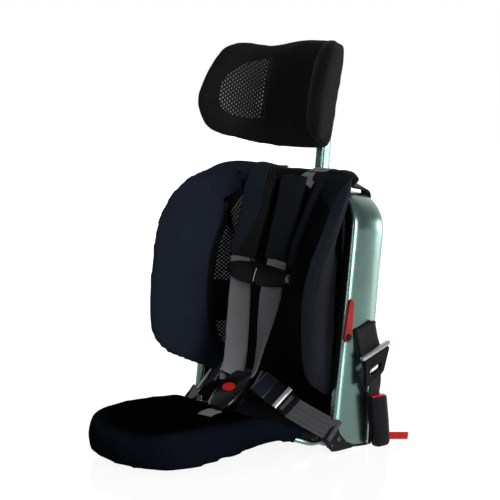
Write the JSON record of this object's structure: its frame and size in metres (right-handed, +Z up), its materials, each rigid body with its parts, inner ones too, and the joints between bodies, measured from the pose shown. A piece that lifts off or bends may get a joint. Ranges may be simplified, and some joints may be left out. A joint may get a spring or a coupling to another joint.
{
  "type": "travel car seat",
  "caption": "Folding travel car seat with an aluminium hoop frame, padded seat and side wings, sliding headrest, harness and anchor belts.",
  "frame": {"origin": "on the floor, in the middle of the base crossbar's flat underside", "axes": "+Z up, -Y to the front of the seat, +X to the seat's left-hand side as its occupant sits"},
  "size_m": [0.42, 0.4851, 0.6632],
  "materials": {
    "green_anodised_aluminium": "satin green anodised",
    "black_plastic": "fine moulded texture",
    "red_plastic": "moulded red",
    "black_knit": "black knit over padding",
    "navy_fabric": "navy fabric over foam",
    "grey_webbing": "woven grey webbing",
    "dark_webbing": "woven dark webbing",
    "bright_metal": "bright plated",
    "black_steel": "black coated"
  },
  "bodies": {
    "frame": {"frame_hoop": "green_anodised_aluminium", "base_crossbar": "green_anodised_aluminium", "rear_brace": "green_anodised_aluminium", "post_guide": "black_plastic", "back_panel": "black_knit", "back_hood": "black_knit", "foot_left": "black_plastic", "foot_right": "black_plastic", "hip_bracket_left": "black_steel", "hip_bracket_right": "black_steel", "seat_pivot_pin_left": "black_steel", "seat_pivot_pin_right": "black_steel", "side_wing_left": "navy_fabric", "side_wing_right": "navy_fabric", "cover_loop_left": "black_knit", "cover_loop_right": "black_knit", "shoulder_strap_left": "grey_webbing", "shoulder_strap_right": "grey_webbing", "shoulder_pad_left": "navy_fabric", "shoulder_pad_right": "navy_fabric", "chest_clip_left": "black_plastic", "chest_clip_right": "black_plastic", "lower_strap_left": "grey_webbing", "lower_strap_right": "grey_webbing", "lever_bolt_left": "black_steel", "lever_bolt_right": "black_steel", "anchor_strap_left": "dark_webbing", "anchor_strap_right": "dark_webbing", "anchor_adjuster_left": "black_plastic", "anchor_adjuster_right": "black_plastic", "anchor_webbing_left": "dark_webbing", "anchor_webbing_right": "dark_webbing", "connector_left": "black_plastic", "connector_right": "black_plastic", "pull_tab_left": "red_plastic", "pull_tab_right": "red_plastic"},
    "headrest": {"headrest_post": "green_anodised_aluminium", "headrest_shell": "black_plastic", "headrest_pad": "black_knit"},
    "seat": {"seat_loop": "green_anodised_aluminium", "seat_pan": "black_plastic", "seat_pad": "navy_fabric", "crotch_strap": "dark_webbing", "buckle_housing": "black_plastic", "hip_tongue_left": "bright_metal", "hip_tongue_right": "bright_metal", "hip_adjuster_left": "black_plastic", "hip_adjuster_right": "black_plastic", "hip_strap_left": "dark_webbing", "hip_strap_right": "dark_webbing"},
    "buckle_button": {"buckle_button": "red_plastic"},
    "height_button": {"height_button": "black_plastic"},
    "release_lever_left": {"release_lever_left": "red_plastic"},
    "hip_adjuster_bar_left": {"hip_adjuster_bar_left": "bright_metal"},
    "anchor_bar_left": {"anchor_bar_left": "bright_metal"},
    "connector_button_left": {"connector_button_left": "red_plastic"},
    "release_lever_right": {"release_lever_right": "red_plastic"},
    "hip_adjuster_bar_right": {"hip_adjuster_bar_right": "bright_metal"},
    "anchor_bar_right": {"anchor_bar_right": "bright_metal"},
    "connector_button_right": {"connector_button_right": "red_plastic"}
  },
  "joints": [
    {"name": "headrest_height", "type": "slide", "parent": "frame", "child": "headrest", "axis": [0, 0.1045, 0.9945], "range_m": [-0.012, 0.076]},
    {"name": "seat_fold", "type": "hinge", "parent": "frame", "child": "seat", "pos_m": [0, -0.042, 0.014], "axis": [-1, 0, 0], "range_deg": [0, 50], "deforming": ["lower_strap_left", "lower_strap_right", "hip_strap_left", "hip_strap_right"]},
    {"name": "buckle_release", "type": "slide", "parent": "seat", "child": "buckle_button", "axis": [0, 0.5592, -0.829], "range_m": [0, 0.002], "stiffness_N_per_m": 900, "springref_m": -0.002},
    {"name": "height_release", "type": "slide", "parent": "frame", "child": "height_button", "axis": [0, -0.9945, 0.1045], "range_m": [0, 0.0025], "stiffness_N_per_m": 600, "springref_m": -0.002},
    {"name": "lever_left", "type": "hinge", "parent": "frame", "child": "release_lever_left", "pos_m": [-0.1748, -0.03, 0.187], "axis": [1, 0, 0], "range_deg": [0, 20], "stiffness_Nm_per_rad": 0.08, "springref_deg": -17.19},
    {"name": "hip_adjuster_left", "type": "hinge", "parent": "seat", "child": "hip_adjuster_bar_left", "pos_m": [-0.09609, -0.09232, 0.08201], "axis": [0.1169, -0.7785, -0.6167], "range_deg": [0, 20], "stiffness_Nm_per_rad": 0.05, "springref_deg": -17.19},
    {"name": "anchor_adjuster_left", "type": "hinge", "parent": "frame", "child": "anchor_bar_left", "pos_m": [-0.1908, 0.02441, 0.15704], "axis": [0, -0.9529, -0.3032], "range_deg": [0, 20], "stiffness_Nm_per_rad": 0.06, "springref_deg": -17.19},
    {"name": "connector_release_left", "type": "slide", "parent": "frame", "child": "connector_button_left", "axis": [0, 0, -1], "range_m": [0, 0.0025], "stiffness_N_per_m": 700, "springref_m": -0.002},
    {"name": "lever_right", "type": "hinge", "parent": "frame", "child": "release_lever_right", "pos_m": [0.1748, -0.03, 0.187], "axis": [1, 0, 0], "range_deg": [0, 20], "stiffness_Nm_per_rad": 0.08, "springref_deg": -17.19},
    {"name": "hip_adjuster_right", "type": "hinge", "parent": "seat", "child": "hip_adjuster_bar_right", "pos_m": [0.09609, -0.09232, 0.08201], "axis": [0.1169, 0.7785, 0.6167], "range_deg": [0, 20], "stiffness_Nm_per_rad": 0.05, "springref_deg": -17.19},
    {"name": "anchor_adjuster_right", "type": "hinge", "parent": "frame", "child": "anchor_bar_right", "pos_m": [0.1908, 0.02441, 0.15704], "axis": [0, 0.9529, 0.3032], "range_deg": [0, 20], "stiffness_Nm_per_rad": 0.06, "springref_deg": -17.19},
    {"name": "connector_release_right", "type": "slide", "parent": "frame", "child": "connector_button_right", "axis": [0, 0, -1], "range_m": [0, 0.0025], "stiffness_N_per_m": 700, "springref_m": -0.002}
  ]
}
